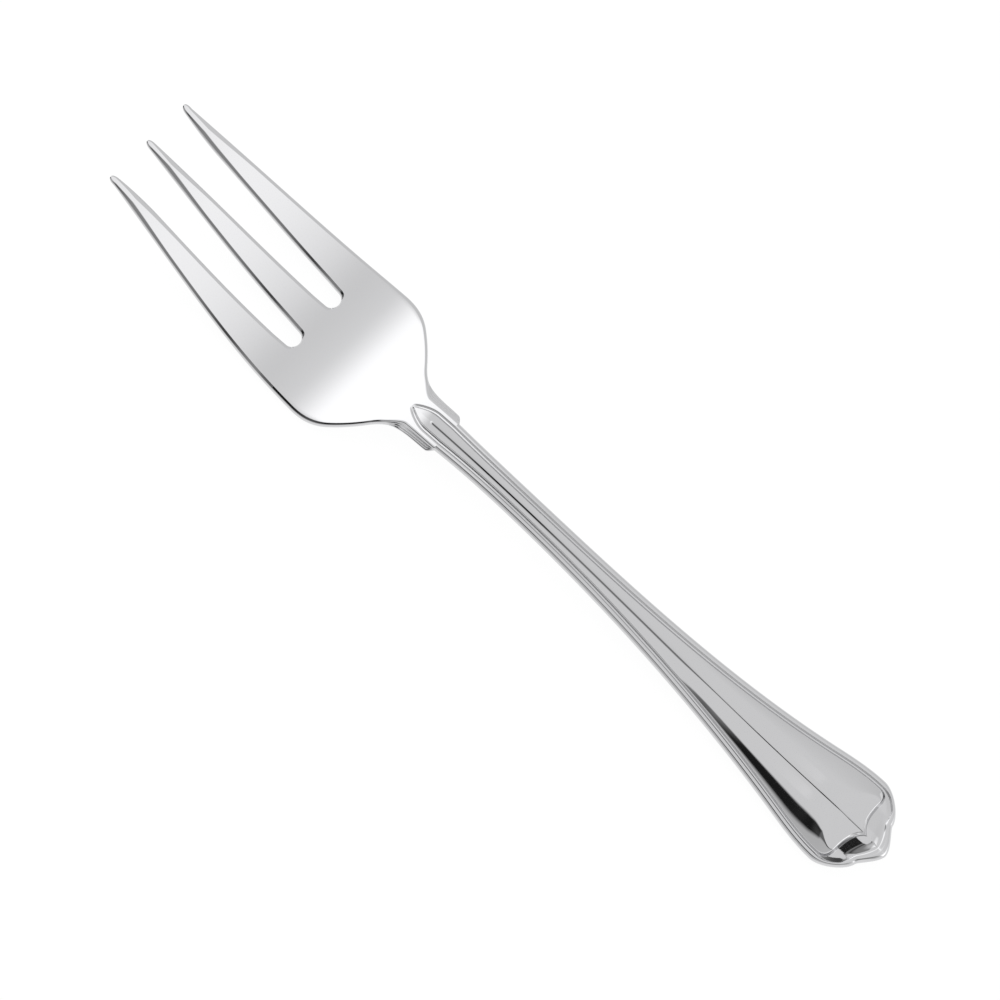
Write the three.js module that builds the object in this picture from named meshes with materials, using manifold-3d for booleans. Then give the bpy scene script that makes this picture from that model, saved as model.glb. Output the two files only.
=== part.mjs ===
// A three-tined serving fork with a hollow handle, in millimetres.
// X runs from the tine tips to the handle's end, Z is up, and the fork lies face up on z = 0.
import * as THREE from "three";
import { mergeVertices } from "three/addons/utils/BufferGeometryUtils.js";
import Module from "manifold-3d";

const wasm = await Module();
wasm.setup();

// Lengths along X
const TINE_LENGTH = 55.8;
const PALM_LENGTH = 28.9;
const NECK_LENGTH = 12.9;
const HANDLE_LENGTH = 142.4;

// Side profile: heights of the middle of the metal above the palm's flat
const TIP_RISE = 20.6;
const TIP_SLOPE = -0.35;
const NECK_RISE = 5.2;
const NECK_SLOPE = 0.23;
const CROWN_RISE = 8.9;
const CROWN_AFTER_JOINT = 21;
const TAIL_RISE = 1.2;
const TAIL_FLAT = 24.4;
const REST_AFTER_SLOT = 2.6;
const REST_LENGTH = 8;

// Head in plan, as half widths
const TIP_RADIUS = 0.75;
const HEAD_AT_TIPS = 13;
const HEAD_WIDEST = 19.3;
const MIDDLE_TINE_TIP = 0.8;
const MIDDLE_TINE_ROOT = 4.45;
const TINE_GAP_TIP = 9.3;
const TINE_GAP_ROOT = 4.3;
const TINE_SLIM = 1.2;
const TINE_SLIM_LENGTH = 14;
const SHOULDER_BEND = 16.5;
const WIDEST_AFTER_SLOT = 9.5;
const BEND_AFTER_SLOT = 19;
const NECK_SIDE = 6.4;
const NECK_FLARE = 3.5;
const EAR_SIDE = 5.75;
const EAR_END = 1.6;

// Thickness of the head
const TIP_THICK = 1.1;
const TIP_TAPER = 6;
const TINE_THICK = 1.9;
const PALM_THICK = 2.4;

// Handle in plan, as half widths
const JOINT_SIDE = 4.3;
const STEM_SIDE = 3.85;
const FLARE_SIDE = 11.2;
const FLARE_SLOPE = 0.19;
const FLARE_BEFORE_END = 25.4;
const TAIL_SIDE = 12.75;
const TAIL_BEFORE_END = 12.4;
const NOTCH_SIDE = 6.3;
const NOTCH_BEFORE_END = 3.8;

// Face of the handle: heights above the seam, and widths inward from the outline
const BEAD_HEIGHT = 1.35;
const BEAD_WIDTH = 1.7;
const GROOVE_HEIGHT = 1.1;
const GROOVE_WIDTH = 0.3;
const FLANK_WIDTH = 0.5;
const FLANK_HEIGHT = 1.55;
const STEM_ROOF_SLOPE = 0.12;
const TAIL_ROOF_SLOPE = 0.03;
const SWELL_SLOPE = 0.45;
const SWELL_SHARE = 0.3;
const SWELL_GROWTH = 0.035;
const SWELL_AT_END = 0.8;
const SWELL_BEFORE_END = 68;
const SWELL_RUN = 16;
const TONGUE_LENGTH = 11.4;
const FIELD_END = 9;
const FIELD_END_SIDE = 7.6;
const POINT_SIDE = 3.5;
const POINT_LENGTH = 3;
const RIM_AT_POINT = 2.6;
const CREST_LAG = 5;

// Back of the handle and the hollow inside it
const BACK_EDGE = 1.15;
const STEM_DEPTH = 2.3;
const TAIL_DEPTH = 2.4;
const WALL = 0.55;
const FLANGE = 1.05;
const HOLLOW_BEFORE_END = 15.4;
const SEAM_GAP = 0.1;
const FILL_GAP = 0.12;

// Tang
const TANG_LENGTH = 48;
const TANG_WIDTH = 3.1;
const TANG_THICK = 1.3;
const TANG_TAPER = 0.75;
const TANG_DROP = 0.45;
const TANG_NOTCHES = 3;
const NOTCH_LENGTH = 3;
const NOTCH_DEPTH = 0.5;
const SOCKET_GAP = 0.12;

// Places along X that follow from the lengths
const SLOT_AT = TINE_LENGTH;
const NECK_AT = SLOT_AT + PALM_LENGTH;
const JOINT_AT = NECK_AT + NECK_LENGTH;
const LENGTH = JOINT_AT + HANDLE_LENGTH;
const REST_AT = SLOT_AT + REST_AFTER_SLOT;
const CROWN_AT = JOINT_AT + CROWN_AFTER_JOINT;
const TAIL_AT = LENGTH - TAIL_BEFORE_END;
const FIELD_END_AT = LENGTH - FIELD_END;
const POINT_AT = FIELD_END_AT + POINT_LENGTH;
const TONGUE_AT = JOINT_AT - TONGUE_LENGTH;
const HOLLOW_END_AT = LENGTH - HOLLOW_BEFORE_END;
const SWELL_AT = LENGTH - SWELL_BEFORE_END;

// A smooth curve through knots [place, value, slope]
function curve(knots, at) {
  let i = 0;
  while (i < knots.length - 2 && at > knots[i + 1][0]) {
    i += 1;
  }
  const [x0, y0, m0] = knots[i];
  const [x1, y1, m1] = knots[i + 1];
  const h = x1 - x0;
  const u = Math.min(1, Math.max(0, (at - x0) / h));
  const rest = 1 - u;
  const ends = y0 * (1 + 2 * u) * rest * rest + y1 * (3 - 2 * u) * u * u;
  return ends + h * (m0 * u * rest * rest - m1 * u * u * rest);
}

const mix = THREE.MathUtils.lerp;
const ramp = (from, to, at) => THREE.MathUtils.smoothstep(at, from, to);

// Height of the middle of the metal, which is also the seam of the handle
const SIDE_PROFILE = [
  [0, TIP_RISE, TIP_SLOPE],
  [REST_AT, 0, 0],
  [REST_AT + REST_LENGTH, 0, 0],
  [NECK_AT + 1, NECK_RISE, NECK_SLOPE],
  [CROWN_AT, CROWN_RISE, 0],
  [LENGTH - TAIL_FLAT, TAIL_RISE, 0],
  [LENGTH, TAIL_RISE, 0],
];
const profile = (at) => curve(SIDE_PROFILE, at) + PALM_THICK / 2;

// A point given along X, across Y and above the bent middle surface
const bent = (at, side, up) => new THREE.Vector3(at - LENGTH / 2, side, profile(at) + up);

// A closed solid through loops of equally many points, which turn anticlockwise seen from the last loop
function loft(loops, view, closeEnd = true) {
  const count = loops[0].length;
  const faces = [];
  for (let i = 0; i + 1 < loops.length; i += 1) {
    for (let j = 0; j < count; j += 1) {
      const a = i * count + j;
      const b = i * count + ((j + 1) % count);
      faces.push(a, b, a + count, b, b + count, a + count);
    }
  }
  for (const [a, b, c] of capFaces(loops[0].map(view))) {
    faces.push(a, c, b);
  }
  if (closeEnd) {
    const last = (loops.length - 1) * count;
    for (const [a, b, c] of capFaces(loops.at(-1).map(view))) {
      faces.push(last + a, last + b, last + c);
    }
  }
  const geometry = new THREE.BufferGeometry().setFromPoints(loops.flat());
  geometry.setIndex(faces);
  return solid(geometry);
}

// Ways to see a loop flat: along X for cross sections, along Z for outlines
const alongX = (p) => new THREE.Vector2(p.y, p.z);
const alongZ = (p) => new THREE.Vector2(p.x, p.y);

// Anticlockwise triangles that cover a flat loop
function capFaces(flat) {
  const faces = THREE.ShapeUtils.triangulateShape([...flat], []);
  const turns = faces.map((face) => THREE.ShapeUtils.area(face.map((i) => flat[i])));
  const left = turns.reduce((sum, turn) => sum + turn, 0) > 0;
  return left ? faces : faces.map(([a, b, c]) => [a, c, b]);
}

// Geometry as a closed solid, with doubled points merged and empty triangles dropped
function solid(geometry) {
  const merged = mergeVertices(geometry, 1e-4);
  const index = merged.index.array;
  const kept = [];
  for (let i = 0; i < index.length; i += 3) {
    const [a, b, c] = [index[i], index[i + 1], index[i + 2]];
    if (a !== b && b !== c && c !== a) {
      kept.push(a, b, c);
    }
  }
  const vertProperties = new Float32Array(merged.getAttribute("position").array);
  const triVerts = new Uint32Array(kept);
  return new wasm.Manifold(new wasm.Mesh({ numProp: 3, vertProperties, triVerts }));
}

// A named mesh from a solid
function piece(name, made, finish) {
  const out = made.getMesh();
  const geometry = new THREE.BufferGeometry();
  geometry.setAttribute("position", new THREE.BufferAttribute(out.vertProperties, 3));
  geometry.setIndex(new THREE.BufferAttribute(out.triVerts, 1));
  geometry.computeVertexNormals();
  const mesh = new THREE.Mesh(geometry, new THREE.MeshStandardMaterial(finish));
  mesh.name = name;
  return mesh;
}

// Evenly spread places, both ends included
const spread = (from, to, count) =>
  Array.from({ length: count + 1 }, (_, i) => mix(from, to, i / count));

// Outer half width of the head, with the ears on the neck
const HEAD_SIDES = [
  [2, HEAD_AT_TIPS, 0.12],
  [SLOT_AT + WIDEST_AFTER_SLOT, HEAD_WIDEST, 0.04],
  [SLOT_AT + BEND_AFTER_SLOT, SHOULDER_BEND, -0.78],
  [NECK_AT - 3, NECK_SIDE + NECK_FLARE, -1.15],
  [NECK_AT + 2, NECK_SIDE, -0.25],
  [JOINT_AT - EAR_END, EAR_SIDE, -0.05],
  [JOINT_AT, JOINT_SIDE + 0.1, -1.3],
];
function headSide(at) {
  const corner = Math.min(1, at / (2 * TIP_RADIUS));
  const rounding = TIP_RADIUS * (1 - Math.sqrt(1 - (1 - corner) ** 2));
  return curve(HEAD_SIDES, at) - rounding;
}

// Half thickness of the head along X, thinning to the tips
const HEAD_HALVES = [
  [0, TIP_THICK / 2, 0.12],
  [TIP_TAPER, TINE_THICK / 2, 0.005],
  [SLOT_AT, PALM_THICK / 2, 0],
  [NECK_AT - 6, PALM_THICK / 2, 0],
  [JOINT_AT, BEAD_HEIGHT, 0],
];
const headHalf = (at) => curve(HEAD_HALVES, at);

// Half width of the handle's own body, which starts between the ears
const HANDLE_SIDES = [
  [JOINT_AT, JOINT_SIDE, -0.05],
  [CROWN_AT, STEM_SIDE, 0],
  [LENGTH - FLARE_BEFORE_END, FLARE_SIDE, FLARE_SLOPE],
  [TAIL_AT, TAIL_SIDE, 0],
];
const handleSide = (at) => curve(HANDLE_SIDES, at);

// Half width of the raised field, from the tongue's point to the joint
function tongueSide(at) {
  const u = Math.max(0, (at - TONGUE_AT) / TONGUE_LENGTH);
  const full = JOINT_SIDE - BEAD_WIDTH - GROOVE_WIDTH;
  return full * Math.sin((Math.min(1, 1.7 * u) * Math.PI) / 2);
}

// Places across the raised field, from the top of its flank to the crest
const DOME_SHARES = [0, 0.2, 0.5, 1];

// Width and rise of the swelling of the raised field where it has a half width
function swelling(side, at) {
  const width = Math.max(0.1, side * (SWELL_SHARE + SWELL_GROWTH * side));
  const rise = (SWELL_SLOPE * ramp(SWELL_AT, SWELL_AT + SWELL_RUN, at) * width) / 2;
  return { width, rise };
}

// Height of the raised field at a distance inward from its foot
function domeHeight(inward, { width, rise }, at) {
  const rest = 1 - Math.min(1, inward / width);
  const roof = mix(STEM_ROOF_SLOPE, TAIL_ROOF_SLOPE, ramp(SWELL_AT, SWELL_AT + SWELL_RUN, at));
  return FLANK_HEIGHT + roof * inward + rise * (1 - rest * rest);
}

// Half outline of the raised face from the edge to the middle, as [side, height]
function faceLine(edge, groove, field, raise) {
  const bead = edge - groove;
  const flank = Math.min(FLANK_WIDTH, field * 0.6);
  const top = (height) => mix(BEAD_HEIGHT, height, raise);
  const dome = (share) => {
    const side = (field - flank) * (1 - share);
    return [side, top(domeHeight(field - side, swelling(field, JOINT_AT), JOINT_AT))];
  };
  return [
    [edge, 0],
    [edge - 0.07 * bead, 0.42 * BEAD_HEIGHT],
    [edge - 0.25 * bead, 0.8 * BEAD_HEIGHT],
    [edge - 0.55 * bead, BEAD_HEIGHT],
    [edge - 0.82 * bead, top(0.94 * BEAD_HEIGHT)],
    [groove, top(GROOVE_HEIGHT)],
    [field, top(GROOVE_HEIGHT)],
    ...DOME_SHARES.map(dome),
  ];
}

// Cross section of the head blank at a place along X
function headSection(at) {
  const edge = headSide(at);
  const half = headHalf(at);
  const round = Math.min(half, 1.1);
  const neck = ramp(NECK_AT - 2, NECK_AT + 4, at);
  const body = mix(edge, Math.min(edge, handleSide(JOINT_AT)), neck);
  const field = Math.max(tongueSide(at), 0.35);
  const groove = field + mix((body - field) * 0.4, GROOVE_WIDTH, neck);
  const raise = ramp(TONGUE_AT, TONGUE_AT + 6, at);
  const face = faceLine(body, groove, field, raise);
  const ledge = [
    [edge, 0],
    [mix(edge - 0.1 * round, edge - 0.1, neck), mix(0.43, 0.12, neck) * half],
    [mix(edge - 0.4 * round, Math.min(body + 0.15, edge - 0.2), neck), mix(0.8, 0.72, neck) * half],
    [mix(edge - round, body - 0.3, neck), half],
  ];
  const scale = half / BEAD_HEIGHT;
  const upper = [...ledge, ...face.slice(4).map(([side, up]) => [side, up * scale])];
  const deep = mix(half, STEM_DEPTH, ramp(NECK_AT - 10, JOINT_AT, at));
  const lower = [
    [edge - 0.1 * round, -0.43 * half],
    [edge - 0.4 * round, -0.8 * half],
    [edge - round, -half],
    [0.5 * edge, -mix(half, deep, 0.72)],
    [0, -deep],
  ];
  return mirrored(at, upper, lower);
}

// A closed loop from upper and lower half outlines, both running from the edge to the middle
function mirrored(at, upper, lower) {
  const right = upper.map(([side, up]) => bent(at, side, up));
  const left = upper.map(([side, up]) => bent(at, -side, up)).reverse();
  const under = lower.map(([side, up]) => bent(at, -side, up));
  const back = lower.map(([side, up]) => bent(at, side, up)).reverse();
  return [...right, ...left.slice(1), ...under, ...back.slice(1)];
}

// Solid that cuts the gap between the middle tine and one outer tine, its walls bulging like rounded edges
function tineGap(hand) {
  const middle = (at) => {
    const u = at / SLOT_AT;
    return mix(MIDDLE_TINE_TIP, MIDDLE_TINE_ROOT, u * (1.35 - 0.35 * u));
  };
  const width = (at) => {
    const slim = TINE_SLIM * Math.max(0, 1 - at / TINE_SLIM_LENGTH) ** 2;
    return mix(TINE_GAP_TIP, TINE_GAP_ROOT, at / SLOT_AT) + slim;
  };
  const radius = TINE_GAP_ROOT / 2;
  const pointed = (at) => {
    const corner = Math.min(1, Math.max(0, at) / (2 * TIP_RADIUS));
    return TIP_RADIUS * (1 - Math.sqrt(1 - (1 - corner) ** 2));
  };
  const places = [-2, 0, 0.3, 0.8, 1.6, ...spread(4, SLOT_AT - radius, 10)];
  const inner = places.map((at) => [at, middle(Math.max(0, at)) - pointed(at)]);
  const outer = places.map((at) => {
    const near = Math.max(0, at);
    return [at, middle(near) + width(near) + pointed(at)];
  });
  const centre = (inner.at(-1)[1] + outer.at(-1)[1]) / 2;
  const end = spread(-75, 75, 8).map((turn) => {
    const angle = THREE.MathUtils.degToRad(turn);
    return [SLOT_AT - radius + radius * Math.cos(angle), centre + radius * Math.sin(angle)];
  });
  const outline = [...inner, ...end, ...outer.reverse()];
  const levels = [-12, -1, -0.86, -0.5, 0, 0.5, 0.86, 1, 12];
  const loops = levels.map((level) => {
    const reach = Math.min(1, Math.abs(level));
    return outline.map(([at, side], i) => {
      const before = outline[Math.max(0, i - 1)];
      const after = outline[Math.min(outline.length - 1, i + 1)];
      const along = new THREE.Vector2(after[0] - before[0], after[1] - before[1]).normalize();
      const round = Math.min(headHalf(Math.max(0, at)), 0.8);
      const grow = round * (1 - Math.sqrt(1 - reach * reach)) * 0.8;
      const place = at + along.y * grow;
      const across = side - along.x * grow;
      return bent(place, hand * across, level * headHalf(Math.max(0, place)));
    });
  });
  const turned = THREE.ShapeUtils.area(loops[0].map(alongZ)) > 0;
  return loft(turned ? loops : loops.map((loop) => [...loop].reverse()), alongZ);
}

// The tang, or with a positive grow the socket round it; its notches shrink by the same amount
function tang(grow) {
  const start = JOINT_AT - 3;
  const end = JOINT_AT + TANG_LENGTH + grow;
  const loops = spread(start, end, 16).map((at) => {
    const taper = mix(1, TANG_TAPER, Math.max(0, (at - JOINT_AT) / TANG_LENGTH));
    const side = (TANG_WIDTH / 2) * taper + grow;
    const half = (TANG_THICK / 2) * taper + grow;
    const cut = Math.min(side, half) * 0.35;
    const corners = [
      [side, -half + cut],
      [side, half - cut],
      [side - cut, half],
      [cut - side, half],
      [-side, half - cut],
      [-side, cut - half],
      [cut - side, -half],
      [side - cut, -half],
    ];
    return corners.map(([y, z]) => bent(at, y, z - TANG_DROP));
  });
  let made = loft(loops, alongX);
  for (let i = 0; i < TANG_NOTCHES; i += 1) {
    const at = JOINT_AT + (TANG_LENGTH * (i + 1)) / (TANG_NOTCHES + 1);
    const taper = mix(1, TANG_TAPER, (i + 1) / (TANG_NOTCHES + 1));
    for (const hand of [-1, 1]) {
      const box = new THREE.BoxGeometry(NOTCH_LENGTH - 2 * grow, 2 * (NOTCH_DEPTH - grow), 8);
      const middle = bent(at, hand * ((TANG_WIDTH / 2) * taper + grow), 0);
      box.translate(middle.x, middle.y - hand * grow, middle.z);
      box.deleteAttribute("normal");
      box.deleteAttribute("uv");
      made = made.subtract(solid(box));
    }
  }
  return made;
}

// Half outline of the handle's lobed tip, from its widest place to the end
function tipOutline() {
  const notch = new THREE.Vector2(LENGTH - NOTCH_BEFORE_END, NOTCH_SIDE);
  const lobe = new THREE.CubicBezierCurve(
    new THREE.Vector2(TAIL_AT, TAIL_SIDE),
    new THREE.Vector2(mix(TAIL_AT, notch.x, 0.37), TAIL_SIDE),
    new THREE.Vector2(mix(TAIL_AT, notch.x, 0.93), mix(NOTCH_SIDE, TAIL_SIDE, 0.42)),
    notch,
  );
  const point = new THREE.CubicBezierCurve(
    notch,
    new THREE.Vector2(mix(notch.x, LENGTH, 0.07), NOTCH_SIDE * 0.84),
    new THREE.Vector2(mix(notch.x, LENGTH, 0.97), NOTCH_SIDE * 0.36),
    new THREE.Vector2(LENGTH, 0),
  );
  return [lobe.getPoints(8), point.getPoints(8)];
}

// Ribs over half the handle: points of the outline, rim, field edge and crest that belong together
function handleRibs() {
  const straight = [...spread(JOINT_AT, CROWN_AT, 4), ...spread(CROWN_AT, TAIL_AT, 22).slice(1)];
  const ribs = straight.map((at) => {
    const edge = handleSide(at);
    const pull = ramp(LENGTH - FLARE_BEFORE_END, TAIL_AT, at);
    const crest = at - CREST_LAG * pull;
    const line = (side) => new THREE.Vector2(at, side);
    return {
      edge: line(edge),
      rim: line(edge - BEAD_WIDTH),
      field: line(edge - BEAD_WIDTH - GROOVE_WIDTH),
      crest: new THREE.Vector2(crest, 0),
      swell: swelling(edge - BEAD_WIDTH - GROOVE_WIDTH, at),
    };
  });
  const first = ribs.at(-1);
  const corner = new THREE.Vector2(FIELD_END_AT, FIELD_END_SIDE);
  const turn = new THREE.CubicBezierCurve(
    first.field,
    new THREE.Vector2(mix(TAIL_AT, FIELD_END_AT, 0.6), first.field.y),
    new THREE.Vector2(FIELD_END_AT, mix(FIELD_END_SIDE, first.field.y, 0.7)),
    corner,
  );
  const apex = new THREE.CubicBezierCurve(
    corner,
    new THREE.Vector2(FIELD_END_AT, POINT_SIDE),
    new THREE.Vector2(mix(FIELD_END_AT, POINT_AT, 0.35), 0.35 * POINT_SIDE),
    new THREE.Vector2(POINT_AT, 0),
  );
  const [lobe, point] = tipOutline();
  const rimOf = (path, i, width) => {
    const before = path[Math.max(0, i - 1)];
    const after = path[Math.min(path.length - 1, i + 1)];
    const along = after.clone().sub(before).normalize();
    const moved = path[i].clone().addScaledVector(new THREE.Vector2(along.y, -along.x), width);
    return new THREE.Vector2(moved.x, Math.max(0, moved.y));
  };
  const whole = [...lobe, ...point.slice(1)];
  whole.slice(1).forEach((edge, i) => {
    const u = (i + 1) / (whole.length - 1);
    const width = mix(BEAD_WIDTH, RIM_AT_POINT, ramp(0.6, 1, u));
    const onLobe = i + 1 <= 8;
    const field = onLobe ? turn.getPoint((i + 1) / 8) : apex.getPoint((i - 7) / 8);
    const rim = rimOf(whole, i + 1, width);
    if (u === 1) {
      rim.set(LENGTH - RIM_AT_POINT, 0);
    }
    const along = onLobe
      ? mix(first.crest.x, first.crest.x + 3, (i + 1) / 8)
      : i + 1 <= 12
        ? mix(first.crest.x + 3, FIELD_END_AT - POINT_SIDE, (i - 7) / 4)
        : mix(FIELD_END_AT - POINT_SIDE, POINT_AT, (i - 11) / 4);
    const crest = new THREE.Vector2(along, 0);
    const narrowed = mix(first.swell.width, SWELL_AT_END, ramp(0, 0.5, u));
    ribs.push({ edge, rim, field, crest, swell: { width: narrowed, rise: first.swell.rise } });
  });
  return ribs;
}

// Half of the handle as a solid: the face half for hand 1, the back half for hand -1
function handleHalf(hand) {
  const seam = (hand * SEAM_GAP) / 2;
  const loops = handleRibs().map(({ edge, rim, field, crest, swell }) => {
    const line = hand > 0 ? faceRib(edge, rim, field, crest, swell) : backRib(edge, crest);
    line[0].z = seam;
    const right = line.map((p) => bent(p.x, p.y, p.z));
    const left = line.map((p) => bent(p.x, -p.y, p.z)).reverse();
    return [...right, ...left.slice(1), bent(crest.x, 0, seam)];
  });
  const whole = hand > 0 ? loops : loops.map((loop) => [...loop].reverse());
  return loft(whole, alongX, false);
}

// Points of the face from the edge to the crest along one rib
function faceRib(edge, rim, field, crest, swell) {
  const flank = Math.min(0.45, FLANK_WIDTH / Math.max(0.2, field.distanceTo(crest)));
  const shoulder = field.clone().lerp(crest, flank);
  const at = (from, to, share, up) => {
    const p = from.clone().lerp(to, share);
    return new THREE.Vector3(p.x, p.y, up);
  };
  const reach = field.distanceTo(crest);
  const dome = (share) => {
    const inward = mix(shoulder.distanceTo(field), reach, share);
    return at(shoulder, crest, share, domeHeight(inward, swell, crest.x));
  };
  return [
    at(edge, rim, 0, 0),
    at(edge, rim, 0.07, 0.42 * BEAD_HEIGHT),
    at(edge, rim, 0.25, 0.8 * BEAD_HEIGHT),
    at(edge, rim, 0.55, BEAD_HEIGHT),
    at(edge, rim, 0.82, 0.94 * BEAD_HEIGHT),
    at(edge, rim, 1, GROOVE_HEIGHT),
    at(field, crest, 0, GROOVE_HEIGHT),
    ...DOME_SHARES.map(dome),
  ];
}

// Depth of the back below the seam along X
const depth = (at) => mix(STEM_DEPTH, TAIL_DEPTH, ramp(CROWN_AT, LENGTH - TAIL_FLAT, at));

// Points of the back from the edge to the middle along one rib
function backRib(edge, crest) {
  const reach = Math.min(1, edge.distanceTo(crest) / 3);
  const at = (inward, up) => {
    const p = edge.clone().lerp(crest, inward);
    return new THREE.Vector3(p.x, p.y, -up);
  };
  const share = (width) => Math.min(0.3, (width * reach) / edge.distanceTo(crest));
  const low = depth(crest.x);
  return [
    at(0, 0),
    at(share(0.1), 0.42 * BACK_EDGE),
    at(share(0.4), 0.8 * BACK_EDGE),
    at(share(1), BACK_EDGE),
    at(0.5, mix(BACK_EDGE, low, 0.72)),
    at(0.8, mix(BACK_EDGE, low, 0.96)),
    at(1, low),
  ];
}

// The hollow inside the handle, or with a positive shrink the core that fills it
function hollow(from, shrink) {
  const loops = spread(from, HOLLOW_END_AT - shrink, 26).map((at) => {
    const edge = handleSide(at);
    const field = edge - BEAD_WIDTH - GROOVE_WIDTH;
    const low = depth(at) - WALL;
    const side = edge - FLANGE;
    const upper = [
      [side - shrink, 0.1],
      [field + GROOVE_WIDTH, GROOVE_HEIGHT - WALL - shrink],
      [field - FLANK_WIDTH, GROOVE_HEIGHT - WALL - shrink],
      [field - 1.6 * FLANK_WIDTH, FLANK_HEIGHT - WALL - shrink],
      [0, domeHeight(field, swelling(field, at), at) - WALL - shrink - 0.2],
    ];
    const lower = [
      [side - shrink, -0.1],
      [side - shrink - 0.15, shrink - 0.4],
      [0.5 * edge, shrink - mix(BACK_EDGE - WALL, low, 0.72)],
      [0, shrink - low],
    ];
    return mirrored(at, upper, lower);
  });
  return loft(loops, alongX);
}

// The head: a blank with the two gaps cut out, and the tang set in its neck
const headPlaces = [
  ...[0, 0.3, 0.8, 1.7, 3, 5],
  ...spread(8, REST_AT, 10),
  ...spread(REST_AT, REST_AT + REST_LENGTH, 2).slice(1),
  ...spread(REST_AT + REST_LENGTH, NECK_AT, 9).slice(1),
  ...spread(NECK_AT, JOINT_AT, 9).slice(1),
];
const headBlank = loft(headPlaces.map(headSection), alongX);
const head = headBlank.subtract(tineGap(1)).subtract(tineGap(-1)).add(tang(0));

const inside = hollow(JOINT_AT - 1, 0);
const front = handleHalf(1).subtract(inside);
const back = handleHalf(-1).subtract(inside);
const filler = hollow(JOINT_AT + SEAM_GAP, FILL_GAP).subtract(tang(SOCKET_GAP));

const STEEL = { color: 0xc9cacb, roughness: 0.12, metalness: 1 };
const CEMENT = { color: 0x8d8678, roughness: 0.9, metalness: 0 };

const handle = new THREE.Group();
handle.name = "handle";
handle.add(piece("handle_front_shell", front, STEEL));
handle.add(piece("handle_back_shell", back, STEEL));
handle.add(piece("handle_filler", filler, CEMENT));
handle.position.x = SEAM_GAP / 2;

const fork = new THREE.Group();
fork.name = "serving_fork";
const headMesh = piece("fork_head", head, STEEL);
headMesh.position.x = -SEAM_GAP / 2;
fork.add(headMesh);
fork.add(handle);

export default fork;
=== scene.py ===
"""Looks of the serving fork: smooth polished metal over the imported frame, in soft light."""

import math

import bpy
import numpy as np
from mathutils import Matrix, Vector
from mathutils.geometry import delaunay_2d_cdt


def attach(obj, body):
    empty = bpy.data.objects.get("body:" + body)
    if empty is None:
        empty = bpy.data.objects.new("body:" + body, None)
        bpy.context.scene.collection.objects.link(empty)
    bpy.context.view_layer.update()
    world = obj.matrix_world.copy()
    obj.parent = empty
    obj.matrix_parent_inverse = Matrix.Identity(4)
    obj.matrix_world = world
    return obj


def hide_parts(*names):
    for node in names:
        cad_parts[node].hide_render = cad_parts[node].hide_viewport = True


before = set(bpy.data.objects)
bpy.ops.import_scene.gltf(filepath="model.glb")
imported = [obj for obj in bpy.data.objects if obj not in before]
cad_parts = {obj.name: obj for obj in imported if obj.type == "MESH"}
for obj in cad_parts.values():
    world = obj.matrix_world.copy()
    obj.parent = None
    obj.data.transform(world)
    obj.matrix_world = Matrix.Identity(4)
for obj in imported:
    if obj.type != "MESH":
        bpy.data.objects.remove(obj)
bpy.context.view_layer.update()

MM = 0.001

# Lengths along the fork, in millimetres, as in the part
TINE_LENGTH = 55.8
PALM_LENGTH = 28.9
NECK_LENGTH = 12.9
HANDLE_LENGTH = 142.4

# Side profile
TIP_RISE, TIP_SLOPE = 20.6, -0.35
NECK_RISE, NECK_SLOPE = 5.2, 0.23
CROWN_RISE, CROWN_AFTER_JOINT = 8.9, 21
TAIL_RISE, TAIL_FLAT = 1.2, 24.4
REST_AFTER_SLOT, REST_LENGTH = 2.6, 8
BEND_EASE = 8

# Head, as half widths and thicknesses
TIP_RADIUS = 0.75
HEAD_AT_TIPS, HEAD_WIDEST, WIDEST_AFTER_SLOT = 13, 19.3, 9.5
MIDDLE_TINE_TIP, MIDDLE_TINE_ROOT = 0.8, 4.45
TINE_GAP_TIP, TINE_GAP_ROOT = 9.3, 4.3
TINE_SLIM, TINE_SLIM_LENGTH = 1.2, 14
TINE_BOW, TINE_STRAIGHT = 0.35, 50
SHOULDER_BEND, BEND_AFTER_SLOT, PALM_AFTER_SLOT = 16.5, 19, 3
NECK_SIDE, NECK_FLARE, EAR_SIDE, EAR_END = 6.4, 3.5, 5.75, 1.6
EAR_CLEARANCE, EAR_LEAST = 0.1, 0.15
TIP_THICK, TIP_TAPER, TINE_THICK, PALM_THICK = 1.1, 6, 1.9, 2.4

# Edge of the head: a tight turn, in degrees, and a bevel; wider near the tips, narrow at their ends
EDGE_WIDTH, TIP_EDGE_WIDTH, TIP_EDGE_RUN = 0.95, 1.25, (8, 22)
EDGE_TURN, EDGE_TURN_SHARE, EDGE_SLOPE = 82, 0.4, 0.17
TIP_EDGE_START, TIP_EDGE_GROWTH = 0.34, 0.12
SLOT_EDGE_CUT, SLOT_END_TURN = 0.7, (0.4, 0.9)

# Handle, as half widths
JOINT_SIDE, STEM_SIDE = 4.3, 3.85
FLARE_SIDE, FLARE_SLOPE, FLARE_BEFORE_END = 11.2, 0.19, 25.4
TAIL_SIDE, TAIL_BEFORE_END = 12.75, 12.4
NOTCH_SIDE, NOTCH_BEFORE_END = 6.3, 3.8

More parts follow.
